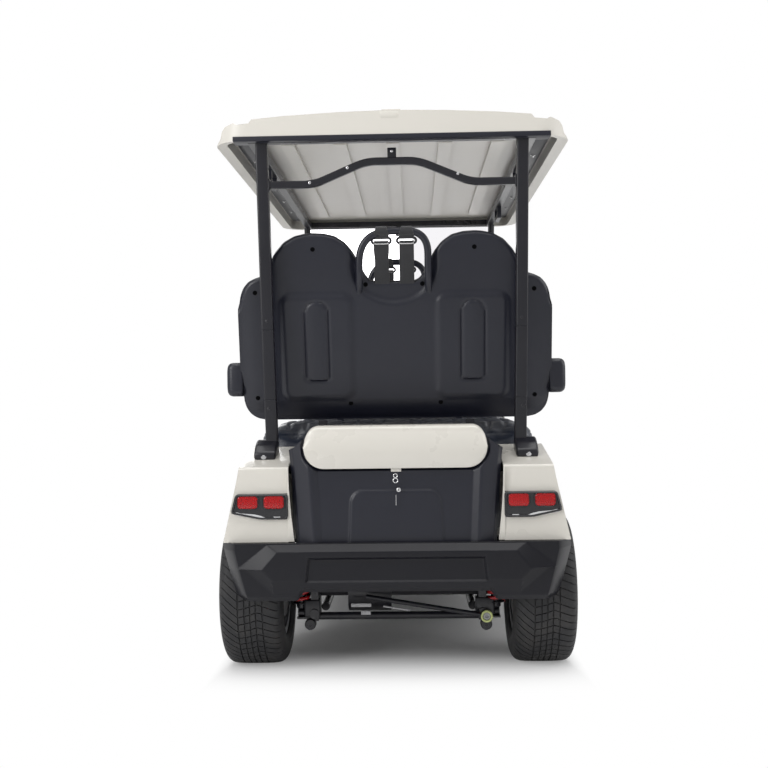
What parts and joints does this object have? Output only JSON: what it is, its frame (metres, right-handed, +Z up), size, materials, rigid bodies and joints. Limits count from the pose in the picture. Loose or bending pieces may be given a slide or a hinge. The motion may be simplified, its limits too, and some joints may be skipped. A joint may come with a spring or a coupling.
{
  "type": "golf cart",
  "caption": "Electric golf cart with two forward-facing bench rows, canopy roof, windscreen, rear box with lid, steered front wheels and turning wheels.",
  "frame": {"origin": "on the ground, under the middle of the cart's length and width", "axes": "+X to the cart's right, +Y forward, +Z up"},
  "size_m": [1.2, 3.072, 1.896],
  "materials": {
    "body_paint": "warm off-white gloss paint on moulded panels",
    "black_plastic": "fine-grained black moulded plastic, satin",
    "black_steel": "black powder coat, semi-gloss",
    "seat_vinyl": "dark blue-black seat vinyl, soft gloss",
    "webbing": "woven black belt webbing",
    "tyre_rubber": "black tyre rubber",
    "rim_alloy": "machined and painted alloy",
    "bare_metal": "cast alloy, dull",
    "red_spring": "red powder-coated springs",
    "lamp_red": "clear red lamp lens in a dark bezel",
    "lamp_clear": "clear lamp cover",
    "screen": "slightly tinted clear sheet",
    "rubber_mat": "ribbed rubber"
  },
  "bodies": {
    "chassis": {"frame": "black_steel", "front_wishbones": "black_steel", "steering_rack": "bare_metal", "rear_axle": "bare_metal", "drive_motor": "bare_metal", "rear_shocks": "red_spring", "front_shocks": "red_spring", "rear_links": "black_steel", "battery_pack": "black_plastic", "floor_pan": "black_plastic", "floor_mats": "rubber_mat", "rocker_panels": "black_plastic", "front_cowl": "body_paint", "front_bumper": "black_plastic", "headlamps": "lamp_clear", "front_grille": "black_plastic", "dashboard": "black_plastic", "steering_column": "black_steel", "pedals": "black_steel", "rear_fender_right": "body_paint", "rear_fender_left": "body_paint", "tail_lamps": "lamp_red", "rear_box": "black_plastic", "rear_bumper": "black_plastic", "rear_seat_base": "black_plastic", "front_seat_base": "black_plastic", "rear_backrest_shell": "black_plastic", "rear_backrest_pad": "seat_vinyl", "front_backrest_shell": "black_plastic", "front_backrest_pad": "seat_vinyl", "armrests": "black_plastic", "grab_handles": "black_plastic", "seat_belts": "webbing", "roof": "body_paint", "roof_frame": "black_steel", "rear_posts": "black_steel", "front_posts": "black_steel", "windscreen": "screen", "assist_grips": "black_plastic"},
    "wheel_front_left": {"tyre_front_left": "tyre_rubber", "rim_front_left": "rim_alloy"},
    "wheel_front_right": {"tyre_front_right": "tyre_rubber", "rim_front_right": "rim_alloy"},
    "wheel_rear_left": {"tyre_rear_left": "tyre_rubber", "rim_rear_left": "rim_alloy"},
    "wheel_rear_right": {"tyre_rear_right": "tyre_rubber", "rim_rear_right": "rim_alloy"},
    "knuckle_left_body": {"knuckle_left": "bare_metal"},
    "knuckle_right_body": {"knuckle_right": "bare_metal"},
    "tie_rod_body": {"tie_rod": "black_steel"},
    "steering_wheel_body": {"steering_wheel": "black_plastic"},
    "lid_body": {"rear_lid": "body_paint"},
    "rear_cushion_body": {"rear_seat_cushion": "seat_vinyl"},
    "front_cushion_body": {"front_seat_cushion": "seat_vinyl"}
  },
  "joints": [
    {"name": "steer_left", "type": "hinge", "parent": "chassis", "child": "knuckle_left_body", "pos_m": [-0.425, 1.115, 0.26], "axis": [0, 0, 1], "range_deg": [-32, 32]},
    {"name": "steer_right", "type": "hinge", "parent": "chassis", "child": "knuckle_right_body", "pos_m": [0.425, 1.115, 0.26], "axis": [0, 0, 1], "range_deg": [-32, 32]},
    {"name": "tie_rod_pivot", "type": "hinge", "parent": "knuckle_left_body", "child": "tie_rod_body", "pos_m": [-0.425, 1.005, 0.26], "axis": [0, 0, 1], "range_deg": [-32, 32]},
    {"name": "steering_wheel_turn", "type": "hinge", "parent": "chassis", "child": "steering_wheel_body", "pos_m": [-0.28, 0.56, 0.95], "axis": [0, -0.6428, 0.766], "range_deg": [-448, 448]},
    {"name": "spin_front_left", "type": "hinge", "parent": "knuckle_left_body", "child": "wheel_front_left", "pos_m": [-0.4925, 1.115, 0.26], "axis": [1, 0, 0], "continuous": true},
    {"name": "spin_front_right", "type": "hinge", "parent": "knuckle_right_body", "child": "wheel_front_right", "pos_m": [0.4925, 1.115, 0.26], "axis": [1, 0, 0], "continuous": true},
    {"name": "spin_rear_left", "type": "hinge", "parent": "chassis", "child": "wheel_rear_left", "pos_m": [-0.4925, -1.165, 0.26], "axis": [1, 0, 0], "continuous": true},
    {"name": "spin_rear_right", "type": "hinge", "parent": "chassis", "child": "wheel_rear_right", "pos_m": [0.4925, -1.165, 0.26], "axis": [1, 0, 0], "continuous": true},
    {"name": "lid_open", "type": "hinge", "parent": "chassis", "child": "lid_body", "pos_m": [0, -1.24, 0.802], "axis": [-1, 0, 0], "range_deg": [0, 60]},
    {"name": "rear_cushion_lift", "type": "hinge", "parent": "chassis", "child": "rear_cushion_body", "pos_m": [0, -0.635, 0.688], "axis": [-1, 0, 0], "range_deg": [0, 60]},
    {"name": "front_cushion_lift", "type": "hinge", "parent": "chassis", "child": "front_cushion_body", "pos_m": [0, 0.295, 0.688], "axis": [-1, 0, 0], "range_deg": [0, 60]}
  ],
  "couplings": [
    {"joint": "steer_right", "follows": "steer_left", "ratio": 1},
    {"joint": "tie_rod_pivot", "follows": "steer_left", "ratio": -1},
    {"joint": "steering_wheel_turn", "follows": "steer_left", "ratio": 14}
  ]
}
